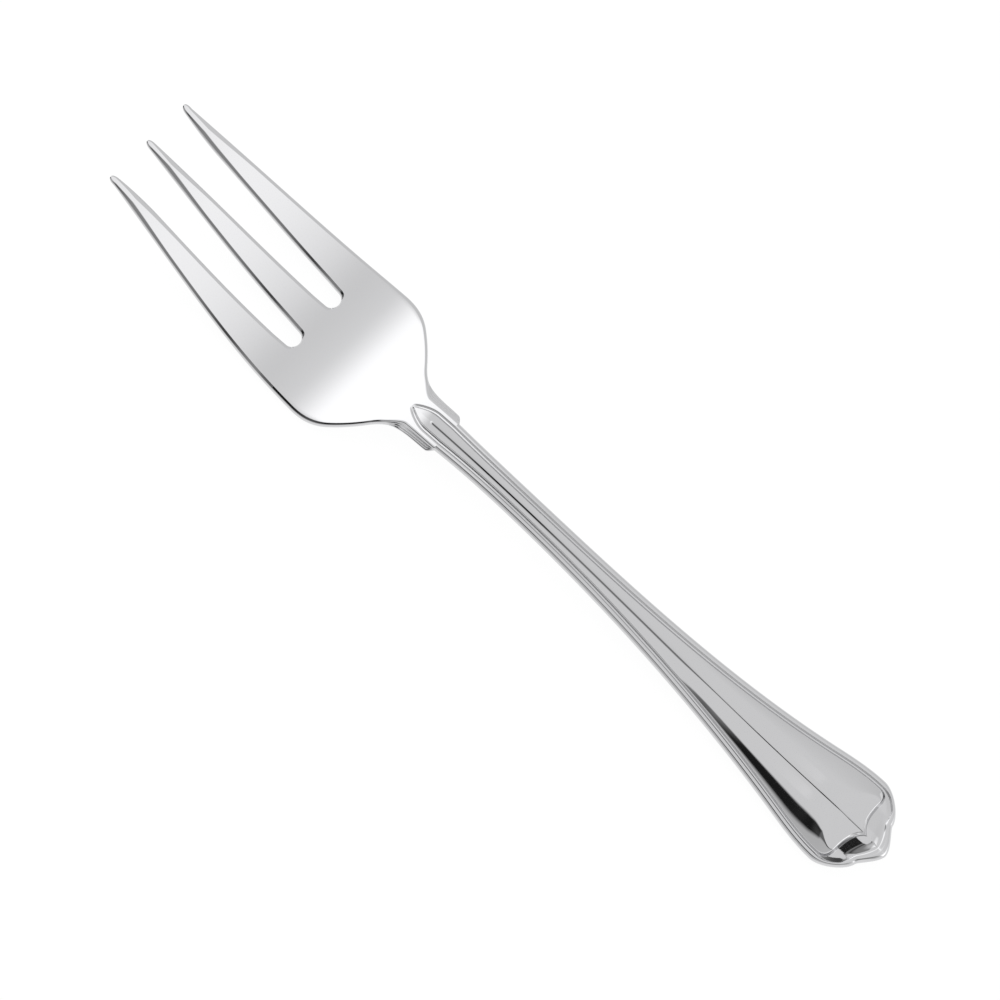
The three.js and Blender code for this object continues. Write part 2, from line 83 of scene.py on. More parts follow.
# Face of the handle: heights above the seam, widths, slopes and shares
BEAD_HEIGHT, BEAD_WIDTH = 1.35, 1.7
BEAD_CROWN, BEAD_ROUNDNESS = 0.6, 2.4
BEAD_FALL, SOFT_BEAD_FALL = 0.7, 0.3
GROOVE_HEIGHT, GROOVE_WIDTH = 1.1, 0.3
FLANK_WIDTH, FLANK_HEIGHT = 0.5, 1.55
TONGUE_LENGTH, TONGUE_SHARPNESS, TONGUE_LEAST = 11.4, 1.7, 0.05
GROOVE_START = 0.4
FIELD_END, FIELD_END_SIDE = 9, 7.6
POINT_SIDE, POINT_LENGTH = 3.5, 3
RIM_AT_POINT, RIM_CLEARANCE = 2.6, 0.3
CREST_LAG, CREST_END_RUN = 5, 3
STEM_ROOF_SLOPE, TAIL_ROOF_SLOPE = 0.12, 0.03
SWELL_SLOPE, SWELL_SHARE, SWELL_GROWTH, SWELL_LEAST = 0.45, 0.3, 0.035, 0.1
SWELL_AT_END, SWELL_BEFORE_END, SWELL_RUN = 0.8, 68, 16
RECESS_SLOPE, RECESS_SIDE, RECESS_TOP = 0.21, 6.8, 0.75
RECESS_OPEN, RECESS_RISE_SHARE = 2, 0.5
LOBE_DROP, LOBE_RISE, LOBE_NARROW = 0.4, 1.15, 0.45
CREST_LINE_HEIGHT, CREST_LINE_WIDTH, CREST_LINE_RUN = 0.09, 0.27, 0.6

# End of the handle: handles of its curves, as shares of their reach
LOBE_NEAR, LOBE_FAR, LOBE_FAR_SIDE = 0.37, 0.93, 0.42
POINT_NEAR, POINT_NEAR_SIDE, POINT_FAR, POINT_FAR_SIDE = 0.07, 0.84, 0.97, 0.36
TURN_NEAR, TURN_FAR_SIDE, APEX_PULL = 0.6, 0.7, 0.35

# End of the handle: where things change, as shares of the way round from the side to the point,
# and the length of that way
LOBE_STARTS, LOBE_STOPS = (0, 0.22), (0.32, 0.47)
SOFT_RIM, WIDE_RIM = (0.35, 0.7), (0.6, 1)
NARROW_SWELL, WAY_ROUND = (-0.2, 0.45), 20

# Back of the handle, hollow and tang
BACK_EDGE, STEM_DEPTH, TAIL_DEPTH = 1.15, 2.3, 2.4
BACK_ROUND, BACK_ROUND_SHARE = 1.0, 0.3
WALL, FLANGE, HOLLOW_BEFORE_END, CREST_SPARE = 0.55, 1.05, 15.4, 0.2
HOLLOW_LIFT, HOLLOW_FLANK, HOLLOW_CLOSE = 0.1, 1.6, 0.5
HOLLOW_STEP, HOLLOW_STEP_DEPTH = 0.15, 0.4
HOLLOW_MIDDLE, HOLLOW_MIDDLE_DEPTH = 0.5, 0.72
TANG_LENGTH, TANG_WIDTH, TANG_THICK = 48, 3.1, 1.3
TANG_TAPER, TANG_DROP, TANG_NOTCHES, TANG_CUT = 0.75, 0.45, 3, 0.35
NOTCH_LENGTH, NOTCH_DEPTH = 3, 0.5

# Places along X that follow
SLOT_AT = TINE_LENGTH
NECK_AT = SLOT_AT + PALM_LENGTH
JOINT_AT = NECK_AT + NECK_LENGTH
LENGTH = JOINT_AT + HANDLE_LENGTH
REST_AT = SLOT_AT + REST_AFTER_SLOT
CROWN_AT = JOINT_AT + CROWN_AFTER_JOINT
TAIL_AT = LENGTH - TAIL_BEFORE_END
FLARE_AT = LENGTH - FLARE_BEFORE_END
FIELD_END_AT = LENGTH - FIELD_END
POINT_AT = FIELD_END_AT + POINT_LENGTH
TONGUE_AT = JOINT_AT - TONGUE_LENGTH
HOLLOW_END_AT = LENGTH - HOLLOW_BEFORE_END
PALM_AT = SLOT_AT + PALM_AFTER_SLOT
SWELL_AT = LENGTH - SWELL_BEFORE_END
EARS_RUN = (NECK_AT - 2, NECK_AT + 4)
GROOVE_RUN = (NECK_AT - 4, TONGUE_AT - 0.4)
TONGUE_RUN = (TONGUE_AT - 0.1, TONGUE_AT + 2)
CREST_LINE_STARTS = (JOINT_AT - 5.2, JOINT_AT - 4.2)
NECK_BACK_RUN = (NECK_AT - 10, JOINT_AT)

# Fineness of the meshes
STEM_RIBS, FLARE_RIBS, END_STEPS = 190, 40, 32
PALM_ROWS, NECK_ROWS, PATH_STEP = 60, 110, 0.22
TIP_FINENESS, TIP_FINE_RUN = 3, (1, 5)
FILL_STEP, FILL_FROM, FILL_SIDE = 0.9, 2, 18
FILL_GAP, FILL_END_GAP, FILL_TOLERANCE = 0.3, 0.5, 1e-7


# Shape functions


def curve(knots, at):
    """A smooth curve through knots (place, value, slope), for one place or many."""
    knots = np.array(knots, float)
    at = np.asarray(at, float)
    i = np.clip(np.searchsorted(knots[:, 0], at, side="left") - 1, 0, len(knots) - 2)
    x0, y0, m0 = np.moveaxis(knots[i], -1, 0)
    x1, y1, m1 = np.moveaxis(knots[i + 1], -1, 0)
    h = x1 - x0
    u = np.clip((at - x0) / h, 0, 1)
    rest = 1 - u
    ends = y0 * (1 + 2 * u) * rest**2 + y1 * (3 - 2 * u) * u**2
    return ends + h * (m0 * u * rest**2 - m1 * u**2 * rest)


def mix(a, b, share):
    return a + (b - a) * share


def ramp(start, end, at):
    u = np.clip((np.asarray(at, float) - start) / (end - start), 0, 1)
    return u * u * (3 - 2 * u)


SIDE_PROFILE = [
    (0, TIP_RISE, TIP_SLOPE),
    (REST_AT, 0, 0),
    (REST_AT + REST_LENGTH, 0, 0),
    (NECK_AT + 1, NECK_RISE, NECK_SLOPE),
    (CROWN_AT, CROWN_RISE, 0),
    (LENGTH - TAIL_FLAT, TAIL_RISE, 0),
    (LENGTH, TAIL_RISE, 0),
]


def profile(at):
    """Height of the middle of the metal, with its bends eased over a few millimetres."""
    at = np.asarray(at, float)
    reach = np.clip(np.minimum(at, LENGTH - at), 0, BEND_EASE)
    steps = np.linspace(-0.9, 0.9, 10)
    weights = np.cos(steps * np.pi / 2) ** 2
    eased = sum(w * curve(SIDE_PROFILE, at + t * reach) for t, w in zip(steps, weights))
    return eased / weights.sum() + PALM_THICK / 2


def tip_rounding(at):
    corner = np.clip(np.asarray(at, float) / (2 * TIP_RADIUS), 0, 1)
    return TIP_RADIUS * (1 - np.sqrt(1 - (1 - corner) ** 2))


HEAD_SIDES = [
    (2, HEAD_AT_TIPS, 0.12),
    (SLOT_AT + WIDEST_AFTER_SLOT, HEAD_WIDEST, 0.04),
    (SLOT_AT + BEND_AFTER_SLOT, SHOULDER_BEND, -0.78),
    (NECK_AT - 3, NECK_SIDE + NECK_FLARE, -1.15),
    (NECK_AT + 2, NECK_SIDE, -0.25),
    (JOINT_AT - EAR_END, EAR_SIDE, -0.05),
    (JOINT_AT, JOINT_SIDE + 0.1, -1.3),
]


def head_side(at):
    return curve(HEAD_SIDES, at) - tip_rounding(at)


HEAD_HALVES = [
    (0, TIP_THICK / 2, 0.12),
    (TIP_TAPER, TINE_THICK / 2, 0.005),
    (SLOT_AT, PALM_THICK / 2, 0),
    (NECK_AT - 6, PALM_THICK / 2, 0),
    (JOINT_AT, BEAD_HEIGHT, 0),
]


def head_half(at):
    return curve(HEAD_HALVES, at)


HANDLE_SIDES = [
    (JOINT_AT, JOINT_SIDE, -0.05),
    (CROWN_AT, STEM_SIDE, 0),
    (FLARE_AT, FLARE_SIDE, FLARE_SLOPE),
    (TAIL_AT, TAIL_SIDE, 0),
]


def handle_side(at):
    return curve(HANDLE_SIDES, at)


def bead_line(share, soft=0):
    """Height of the thread border, from the edge at 0 to the groove at 1.

    A soft border falls from further out.
    """
    share = np.asarray(share, float)
    outside = np.abs(1 - np.minimum(share, BEAD_CROWN) / BEAD_CROWN)
    rise = (1 - outside**BEAD_ROUNDNESS) ** (1 / BEAD_ROUNDNESS)
    start = mix(BEAD_FALL, SOFT_BEAD_FALL, soft)
    fall = np.clip((share - start) / (1 - start), 0, 1) ** 2
    return BEAD_HEIGHT * rise - (BEAD_HEIGHT - GROOVE_HEIGHT) * fall


def swelling(side, at):
    """Width and rise of the swelling of the raised field where it has a half width."""
    width = np.maximum(SWELL_LEAST, side * (SWELL_SHARE + SWELL_GROWTH * side))
    return width, SWELL_SLOPE * ramp(SWELL_AT, SWELL_AT + SWELL_RUN, at) * width / 2


def dome_line(inward, reach, along, swell, foot=GROOVE_HEIGHT):
    """Height of the raised field at a distance inward from its foot, on a rib to the crest."""
    width, rise = swell
    bulge = rise * (1 - (1 - np.minimum(1, inward / width)) ** 2)
    slope = mix(STEM_ROOF_SLOPE, TAIL_ROOF_SLOPE, ramp(SWELL_AT, SWELL_AT + SWELL_RUN, along))
    step = (FLANK_HEIGHT - foot) * ramp(0, 1, inward / FLANK_WIDTH)
    line = CREST_LINE_HEIGHT * np.exp(-(reach - inward) / CREST_LINE_WIDTH)
    line = line * np.clip(inward / CREST_LINE_RUN, 0, 1)
    return foot + step + bulge + slope * inward + line


# Meshes


def to_metres(points):
    """Points along, across and above the seam, bent to the side profile."""
    points = np.asarray(points, float)
    along, across, up = points[..., 0], points[..., 1], points[..., 2]
    return np.stack([along - LENGTH / 2, across, profile(along) + up], -1) * MM


def mesh_object(name, points, faces, normals):
    """A smooth mesh with the given normals and with doubled points merged."""
    mesh = bpy.data.meshes.new(name)
    keys, index = np.unique(np.round(points, 8), axis=0, return_inverse=True)
    index = index.reshape(-1)
    kept, corners = [], []
    for face in faces:
        ring, from_points = [], []
        for corner in face:
            if index[corner] not in ring:
                ring.append(int(index[corner]))
                from_points.append(corner)
        if len(ring) > 2:
            kept.append(ring)
            corners.extend(from_points)
    mesh.from_pydata([tuple(p) for p in keys], [], kept)
    mesh.polygons.foreach_set("use_smooth", [True] * len(kept))
    mesh.normals_split_custom_set([tuple(normals[c]) for c in corners])
    obj = bpy.data.objects.new(name, mesh)
    bpy.context.scene.collection.objects.link(obj)
    return obj


def strip_faces(rows, count, start=0, closed=True):
    """Faces between rows of equally many points."""
    faces = []
    for i in range(rows - 1):
        for j in range(count if closed else count - 1):
            a = start + i * count + j
            b = start + i * count + (j + 1) % count
            faces.append((a, b, b + count, a + count))
    return faces


def bezier(a, b, c, d, steps):
    """Points of a cubic curve with the handles b and c."""
    t = np.linspace(0, 1, steps + 1)[:, None]
    a, b, c, d = (np.array(p, float) for p in (a, b, c, d))
    return a * (1 - t) ** 3 + 3 * b * t * (1 - t) ** 2 + 3 * c * t**2 * (1 - t) + d * t**3


# Handle


def handle_ribs():
    """Outline, rim, field edge and crest along the handle.

    With them come the rim's softness, the share of the lobes and the field's swelling.
    """
    stem = np.linspace(JOINT_AT, FLARE_AT, STEM_RIBS)
    at = np.concatenate([stem[:-1], np.linspace(FLARE_AT, TAIL_AT, FLARE_RIBS)])
    side = handle_side(at)
    pull = ramp(FLARE_AT, TAIL_AT, at)
    edge = np.stack([at, side], -1)
    rim = np.stack([at, side - BEAD_WIDTH], -1)
    field = np.stack([at, side - BEAD_WIDTH - GROOVE_WIDTH], -1)
    crest = np.stack([at - CREST_LAG * pull, 0 * at], -1)

    steps = END_STEPS
    notch = (LENGTH - NOTCH_BEFORE_END, NOTCH_SIDE)
    lobe = bezier(
        (TAIL_AT, TAIL_SIDE),
        (mix(TAIL_AT, notch[0], LOBE_NEAR), TAIL_SIDE),
        (mix(TAIL_AT, notch[0], LOBE_FAR), mix(NOTCH_SIDE, TAIL_SIDE, LOBE_FAR_SIDE)),
        notch,
        steps,
    )
    point = bezier(
        notch,
        (mix(notch[0], LENGTH, POINT_NEAR), NOTCH_SIDE * POINT_NEAR_SIDE),
        (mix(notch[0], LENGTH, POINT_FAR), NOTCH_SIDE * POINT_FAR_SIDE),
        (LENGTH, 0),
        steps,
    )
    tip = np.concatenate([lobe, point[1:]])
    along = np.gradient(tip, axis=0)
    along[-1] = (0, -1)
    along /= np.linalg.norm(along, axis=1)[:, None]
    share = np.linspace(0, 1, len(tip))
    tip_lobe = ramp(*LOBE_STARTS, share) * (1 - ramp(*LOBE_STOPS, share))
    border = mix(BEAD_WIDTH, RIM_AT_POINT, ramp(*WIDE_RIM, share)) * (1 - LOBE_NARROW * tip_lobe)
    tip_rim = tip + np.stack([along[:, 1], -along[:, 0]], -1) * border[:, None]
    tip_rim[:, 1] = np.maximum(tip_rim[:, 1], RIM_CLEARANCE * (1 - share))
    tip_rim[-1] = (LENGTH - RIM_AT_POINT, 0)

    foot = field[-1]
    corner = np.array((FIELD_END_AT, FIELD_END_SIDE))
    turn = bezier(
        foot,
        (mix(TAIL_AT, FIELD_END_AT, TURN_NEAR), foot[1]),
        (FIELD_END_AT, mix(FIELD_END_SIDE, foot[1], TURN_FAR_SIDE)),
        corner,
        steps,
    )
    apex = bezier(
        corner,
        (FIELD_END_AT, POINT_SIDE),
        (mix(FIELD_END_AT, POINT_AT, APEX_PULL), APEX_PULL * POINT_SIDE),
        (POINT_AT, 0),
        steps,
    )
    half = np.linspace(0, 1, steps // 2 + 1)[1:]
    tip_field = np.concatenate([turn, apex[1:]])
    tail_crest = crest[-1, 0]
    places = np.concatenate(
        [
            np.linspace(tail_crest, tail_crest + CREST_END_RUN, steps + 1),
            mix(tail_crest + CREST_END_RUN, FIELD_END_AT - POINT_SIDE, half),
            mix(FIELD_END_AT - POINT_SIDE, POINT_AT, half),
        ]
    )
    tip_crest = np.stack([places, 0 * places], -1)
    soft = 0 * side
    tip_soft = ramp(*SOFT_RIM, share)
    width, rise = swelling(field[:, 1], at)
    tip_width = mix(width[-1], SWELL_AT_END, ramp(*NARROW_SWELL, share))
    width = mix(width, SWELL_AT_END, ramp(*NARROW_SWELL, (at - TAIL_AT) / WAY_ROUND))
    tip_rise = np.full_like(tip_width, rise[-1])

    def join(body, end):
        return np.concatenate([body, end[1:]])

    return (
        join(edge, tip),
        join(rim, tip_rim),
        join(field, tip_field),
        join(crest, tip_crest),
        join(soft, tip_soft),
        join(0 * side, tip_lobe),
        (join(width, tip_width)[:, None], join(rise, tip_rise)[:, None]),
    )


def rib_points(start, end, share):
    """Points between the ends of each rib, for shares along it."""
    return start[:, None] + (end - start)[:, None] * share[None, :, None]


def with_height(plan, height):
    return np.concatenate([plan, np.broadcast_to(height, plan.shape[:2])[..., None]], -1)


def recess_lift(side):
    """How far the recess at the end of the handle rises towards the middle."""
    inward = np.clip((RECESS_SIDE - side) / RECESS_SIDE, 0, 1)
    return RECESS_SLOPE * RECESS_SIDE * np.minimum(inward, RECESS_TOP)


def face_lines(edge, rim, field, crest, soft, lobe, swell):
    """The face's points along every rib from the edge to the crest."""
    bead = np.concatenate([np.linspace(0, 0.75, 19) ** 1.3, np.linspace(0.78, 1, 8)])
    drop = LOBE_DROP * lobe[:, None]
    last_fifth = np.clip(bead * 5 - 4, 0, 1)
    bead_up = bead_line(bead[None], soft[:, None]) - drop * last_fifth[None] ** 2
    bead_part = with_height(rib_points(edge, rim, bead), bead_up)
    gap = np.array([0.04, 0.12, 0.2, 0.28, 0.36, 0.44, 0.52, 0.65, 0.78, 0.88, 0.96])
    recess = rib_points(rim, field, gap)
    wide = np.linalg.norm(field - rim, axis=1)[:, None]
    opened = ramp(GROOVE_WIDTH, RECESS_OPEN, wide)
    lift = recess_lift(recess[..., 1]) * opened * ramp(0, RECESS_RISE_SHARE, gap)[None]
    apart = np.linalg.norm(recess[:, :, None] - rim[None, None], axis=-1)
    lowered = LOBE_DROP * lobe[np.argmin(apart, -1)]
    lift = lift - lowered * np.clip(1 - np.min(apart, -1) / LOBE_RISE, 0, 1)
    gap_part = with_height(recess, GROOVE_HEIGHT + lift)
    reach = np.linalg.norm(crest - field, axis=1)[:, None]
    spread = np.linspace(0, 1, 49)
    spread = 0.5 - 0.5 * np.cos(np.pi * spread)
    plan = rib_points(field, crest, spread)
    foot = GROOVE_HEIGHT + recess_lift(field[:, 1:]) * opened
    dome = dome_line(reach * spread[None], reach, crest[:, :1], swell, foot)
    return np.concatenate([bead_part, gap_part, with_height(plan, dome)], 1)


def back_depth(at):
    return mix(STEM_DEPTH, TAIL_DEPTH, ramp(CROWN_AT, LENGTH - TAIL_FLAT, at))


def back_lines(edge, crest):
    """The back's points along every rib from the edge to the middle."""
    reach = np.maximum(np.linalg.norm(crest - edge, axis=1), 0.01)[:, None]
    turn = np.linspace(0, np.pi / 2, 9)
    round_width = np.minimum(BACK_ROUND, BACK_ROUND_SHARE * reach)
    edge_share = round_width * (1 - np.cos(turn))[None] / reach
    start = round_width / reach
    fill = np.linspace(0, 1, 17)[1:]
    fill_share = start + (1 - start) * fill[None]
    share = np.concatenate([edge_share, fill_share], 1)
    plan = edge[:, None] + (crest - edge)[:, None] * share[..., None]
    low = back_depth(crest[:, 0])[:, None]
    belly = BACK_EDGE + (low - BACK_EDGE) * (1 - (1 - fill) ** 2)[None]
    round_up = np.broadcast_to(BACK_EDGE * np.sin(turn)[None], edge_share.shape)
    return with_height(plan, -np.concatenate([round_up, belly], 1))


def hollow_line(edge, crest, hand):
    """The inner wall's points along every rib, from the flange to the middle."""
    reach = np.maximum(np.linalg.norm(crest - edge, axis=1), 0.01)
    side = edge[:, 1]
    foot = BEAD_WIDTH + GROOVE_WIDTH
    if hand > 0:
        flank = foot + HOLLOW_FLANK * FLANK_WIDTH
        inward = [FLANGE, foot - GROOVE_WIDTH, foot + FLANK_WIDTH, flank]
        heights = [HOLLOW_LIFT, GROOVE_HEIGHT - WALL, GROOVE_HEIGHT - WALL, FLANK_HEIGHT - WALL]
        half = side - foot
        crest_up = dome_line(half, half, edge[:, 0], swelling(half, edge[:, 0]))
        last = crest_up - CREST_LINE_HEIGHT - WALL - CREST_SPARE
    else:
        low = back_depth(edge[:, 0]) - WALL
        inward = [FLANGE, FLANGE + HOLLOW_STEP]
        heights = [-HOLLOW_LIFT, -HOLLOW_STEP_DEPTH]
        last = -low
    share = np.stack([np.minimum(i / reach, 1) for i in inward], 1)
    up = np.broadcast_to(np.array(heights), share.shape)
    if hand < 0:
        share = np.concatenate([share, np.full((len(side), 1), HOLLOW_MIDDLE)], 1)
        middle = -mix(BACK_EDGE - WALL, low, HOLLOW_MIDDLE_DEPTH)
        up = np.concatenate([up, middle[:, None]], 1)
    share = np.concatenate([share, np.ones((len(side), 1))], 1)
    up = np.concatenate([up, last[:, None]], 1)
    plan = edge[:, None] + (crest - edge)[:, None] * share[..., None]
    open_part = 1 - ramp(HOLLOW_END_AT, HOLLOW_END_AT + HOLLOW_CLOSE, plan[..., 0])
    return with_height(plan, up * open_part)


def sheet_normals(grid):
    """Normals of an open sheet, taken from the row before where it narrows to a line."""
    up = np.cross(np.gradient(grid, axis=1), np.gradient(grid, axis=0))
    size = np.linalg.norm(up, axis=-1)
    for row in range(1, len(grid)):
        thin = size[row] < 1e-13
        up[row, thin], size[row, thin] = up[row - 1, thin], size[row - 1, thin]
    return up / np.maximum(size, 1e-15)[..., None]


def handle_shell(name, hand):
    """The face half of the handle for hand 1, the back half for hand -1."""
    edge, rim, field, crest, soft, lobe, swell = handle_ribs()
    if hand > 0:
        outer = face_lines(edge, rim, field, crest, soft, lobe, swell)
    else:
        outer = back_lines(edge, crest)
    inner = hollow_line(edge, crest, hand)
    flip = np.array((1, -1, 1))
    outside = np.concatenate([outer, (outer * flip)[:, -2::-1]], 1)
    inside = np.concatenate([inner, (inner * flip)[:, -2::-1]], 1)
    left = np.stack([outer[:, 0], inner[:, 0]], 1)
    pieces = [(outside, hand), (inside, -hand), (left, -hand), (left * flip, hand)]
    points, normals, faces = [], [], []
    for grid, way in pieces:
        start = sum(len(p) for p in points)
        flat = to_metres(grid)
        rows, count = grid.shape[:2]
        points.append(flat.reshape(-1, 3))
        normals.append((sheet_normals(flat) * way).reshape(-1, 3))
        quads = strip_faces(rows, count, start, closed=False)
        faces.extend(quads if way > 0 else [q[::-1] for q in quads])
    start = sum(len(p) for p in points)
    ring = to_metres(np.concatenate([outside[0], inside[0, ::-1]]))
    points.append(ring)
    normals.append(np.tile((-1.0, 0, 0), (len(ring), 1)))
    cap = tuple(range(start, start + len(ring)))
    faces.append(cap[::-1] if hand > 0 else cap)
    return mesh_object(name, np.concatenate(points), faces, np.concatenate(normals))


# Head


def tongue_side(at):
    share = np.clip((np.asarray(at, float) - TONGUE_AT) / TONGUE_LENGTH, 0, 1)
    full = JOINT_SIDE - BEAD_WIDTH - GROOVE_WIDTH
    return full * np.sin(np.minimum(1, TONGUE_SHARPNESS * share) * np.pi / 2)


def edge_profile():
    """Shares inward and upward round the head's edge, a turn and a bevel, with their slopes."""
    turn = np.radians(np.linspace(0, EDGE_TURN, 11))
    bevel = np.array([0.46, 0.6, 0.72, 0.86, 1])
    inward = EDGE_TURN_SHARE * (1 - np.cos(turn))
    upward = (1 - EDGE_SLOPE) * np.sin(turn)
    step = EDGE_TURN_SHARE * np.sin(turn)
    climb = (1 - EDGE_SLOPE) * np.cos(turn)
    last = mix(upward[-1], 1, (bevel - inward[-1]) / (1 - inward[-1]))
    step = np.append(step, np.full(len(bevel), step[-1]))
    climb = np.append(climb, np.full(len(bevel), climb[-1]))
    climb[-1] = 0
    return np.append(inward, bevel), np.append(upward, last), step, climb


EDGE_IN, EDGE_UP, EDGE_STEP, EDGE_CLIMB = edge_profile()

# Steps of the ears, from the edge of the neck up to its body
EAR_IN = np.array(
    [0, 0.02, 0.06, 0.3, 0.34, 0.38, 0.42, 0.62, 0.66, 0.7, 0.74, 0.92, 0.96, 1, 1, 1]
)
EAR_UP = np.array(
    [0, 0.1, 0.16, 0.175, 0.2, 0.38, 0.42, 0.435, 0.46, 0.62, 0.66, 0.675, 0.7, 0.9, 0.97, 1]
)
EAR_TURN = np.append(np.zeros(13), (0.02, 0.2, 0.5))


def palm_sections(at):
    """Closed loops across the palm and neck, with the tongue, the grooves and the ears."""
    at = at[:, None]
    edge = head_side(at)
    half = head_half(at)
    neck = ramp(*EARS_RUN, at)
    body = mix(edge, np.minimum(edge, JOINT_SIDE), neck)
    round_side = edge - EDGE_WIDTH * EDGE_IN[None]
    round_up = half * EDGE_UP[None]
    ear_end = np.minimum(body + EAR_CLEARANCE, edge - EAR_LEAST)
    ledge_side = mix(edge, ear_end, EAR_IN[None]) - EAR_TURN[None]
    ledge_up = half * EAR_UP[None]
    side = mix(round_side, ledge_side, neck)
    up = mix(round_up, ledge_up, neck)

    field = np.maximum(tongue_side(at), TONGUE_LEAST)
    narrow = ramp(*GROOVE_RUN, at)
    groove = field + mix((body - field) * GROOVE_START, GROOVE_WIDTH, narrow)
    raised = ramp(*TONGUE_RUN, at)
    start = side[:, -1:]
    to_groove = mix(start, groove, 1 - (1 - np.linspace(0, 1, 17)[None, 1:]) ** 2)
    to_field = mix(groove, field, np.array([[0.5, 1.0]]))
    spread = 0.5 - 0.5 * np.cos(np.pi * np.linspace(0, 1, 41))[None, 1:]
    to_crest = field * (1 - spread)
    bead_share = np.clip(1 - (to_groove - groove) / BEAD_WIDTH, 0, 1)
    bead_up = mix(half, half * bead_line(bead_share) / BEAD_HEIGHT, raised)
    bead_up = np.where(bead_share < BEAD_CROWN, half, bead_up)
    gap_up = mix(half, half * GROOVE_HEIGHT / BEAD_HEIGHT, raised) + 0 * to_field
    inward = field - to_crest
    dome = dome_line(inward, field, JOINT_AT, swelling(field, JOINT_AT))
    line_start = ramp(*CREST_LINE_STARTS, at)
    dome = dome - CREST_LINE_HEIGHT * np.exp(-to_crest / CREST_LINE_WIDTH) * (1 - line_start)
    dome_up = mix(half, half * dome / BEAD_HEIGHT, raised)
    side = np.concatenate([side, to_groove, to_field, to_crest], 1)
    up = np.concatenate([up, bead_up, gap_up, dome_up], 1)

    deep = mix(half, STEM_DEPTH, ramp(*NECK_BACK_RUN, at))
    under = np.linspace(1, 0, 21)[None, 1:]
    flat_end = edge - EDGE_WIDTH
    low_side = np.concatenate([round_side[:, 1:], flat_end * under], 1)
    low_up = np.concatenate([-round_up[:, 1:], -mix(half, deep, 1 - under**2)], 1)
    top = np.stack([np.broadcast_to(at, side.shape), side, up], -1)
    low = np.stack([np.broadcast_to(at, low_side.shape), low_side, low_up], -1)
    flip = np.array((1, -1, 1))
    return np.concatenate([top, (top * flip)[:, -2::-1], low * flip, low[:, -2::-1]], 1)


def middle_tine(share):
    """Half width of the middle tine at a share of its length."""
    return mix(MIDDLE_TINE_TIP, MIDDLE_TINE_ROOT, share * (1 + TINE_BOW - TINE_BOW * share))


def tine_path():
    """Outline of the tines from one side of the palm round to the other, as seen from above."""
    round_end = 2 * TIP_RADIUS
    places = np.concatenate(
        [np.linspace(0, 1, 14) ** 2 * round_end, np.linspace(round_end, TINE_STRAIGHT, 90)[1:]]
    )
    share = places / SLOT_AT
    middle = middle_tine(share)
    slim = TINE_SLIM * np.clip(1 - places / TINE_SLIM_LENGTH, 0, 1) ** 2
    width = mix(TINE_GAP_TIP, TINE_GAP_ROOT, share) + slim
    radius = TINE_GAP_ROOT / 2
    stop = SLOT_AT - radius
    outer_at = np.concatenate([places, np.linspace(places[-1], PALM_AT, 10)[1:]])
    outer_edge = np.stack([outer_at, head_side(outer_at)], -1)
    tine_inner = np.stack([places, middle + width + tip_rounding(places)], -1)
    middle_edge = np.stack([places, middle - tip_rounding(places)], -1)
    last = stop / SLOT_AT
    centre = middle_tine(last) + mix(TINE_GAP_TIP, TINE_GAP_ROOT, last) / 2
    turn = np.linspace(np.pi / 2, -np.pi / 2, 41)
    slot = np.stack([stop + radius * np.cos(turn), centre + radius * np.sin(turn)], -1)
    half = np.concatenate([outer_edge[::-1], tine_inner, slot, middle_edge[::-1]])
    other = half[::-1] * np.array((1, -1))
    return np.concatenate([half, other])


def path_normals(path):
    """Outward directions of the outline, away from the metal."""
    along = np.gradient(path, axis=0)
    along /= np.maximum(np.linalg.norm(along, axis=1), 1e-9)[:, None]
    return np.stack([along[:, 1], -along[:, 0]], -1)


def smooth_path(path, spacing):
    """The outline walked at even steps, finer round the tips, without doubled points."""
    steps = np.linalg.norm(np.diff(path, axis=0), axis=1)
    path = path[np.concatenate([[True], steps > 1e-6])]
    steps = np.linalg.norm(np.diff(path, axis=0), axis=1)
    steps = steps * (1 + TIP_FINENESS * (1 - ramp(*TIP_FINE_RUN, path[1:, 0])))
    walked = np.concatenate([[0], np.cumsum(steps)])
    even = np.linspace(0, walked[-1], int(walked[-1] / spacing))
    return np.stack([np.interp(even, walked, path[:, i]) for i in range(2)], -1)


def fill_outline(given, edges, outline):
    """Points and faces that fill an outline, with the given points kept exact."""
    made = delaunay_2d_cdt([Vector(p) for p in given], edges, [outline], 1, FILL_TOLERANCE)
    points = np.array([tuple(v) for v in made[0]])
    for i, sources in enumerate(made[3]):
        if sources:
            points[i] = given[sources[0]]
    return points, [tuple(f) for f in made[2]]


def bent_normal(at, normal):
    """A normal of the flat shape after the bend of the side profile."""
    slope = (profile(at + 0.05) - profile(at - 0.05)) / 0.1
    turned = normal.copy()
    turned[..., 0] = normal[..., 0] - normal[..., 2] * slope
    return turned / np.linalg.norm(turned, axis=-1)[..., None]


def loop_normals(loops):
    """Normals of rows of closed loops."""
    down = np.gradient(loops, axis=0)
    wrapped = np.concatenate([loops[:, -1:], loops, loops[:, :1]], 1)
    across = (wrapped[:, 2:] - wrapped[:, :-2]) / 2
    up = np.cross(across, down)
    return up / np.maximum(np.linalg.norm(up, axis=-1), 1e-12)[..., None]


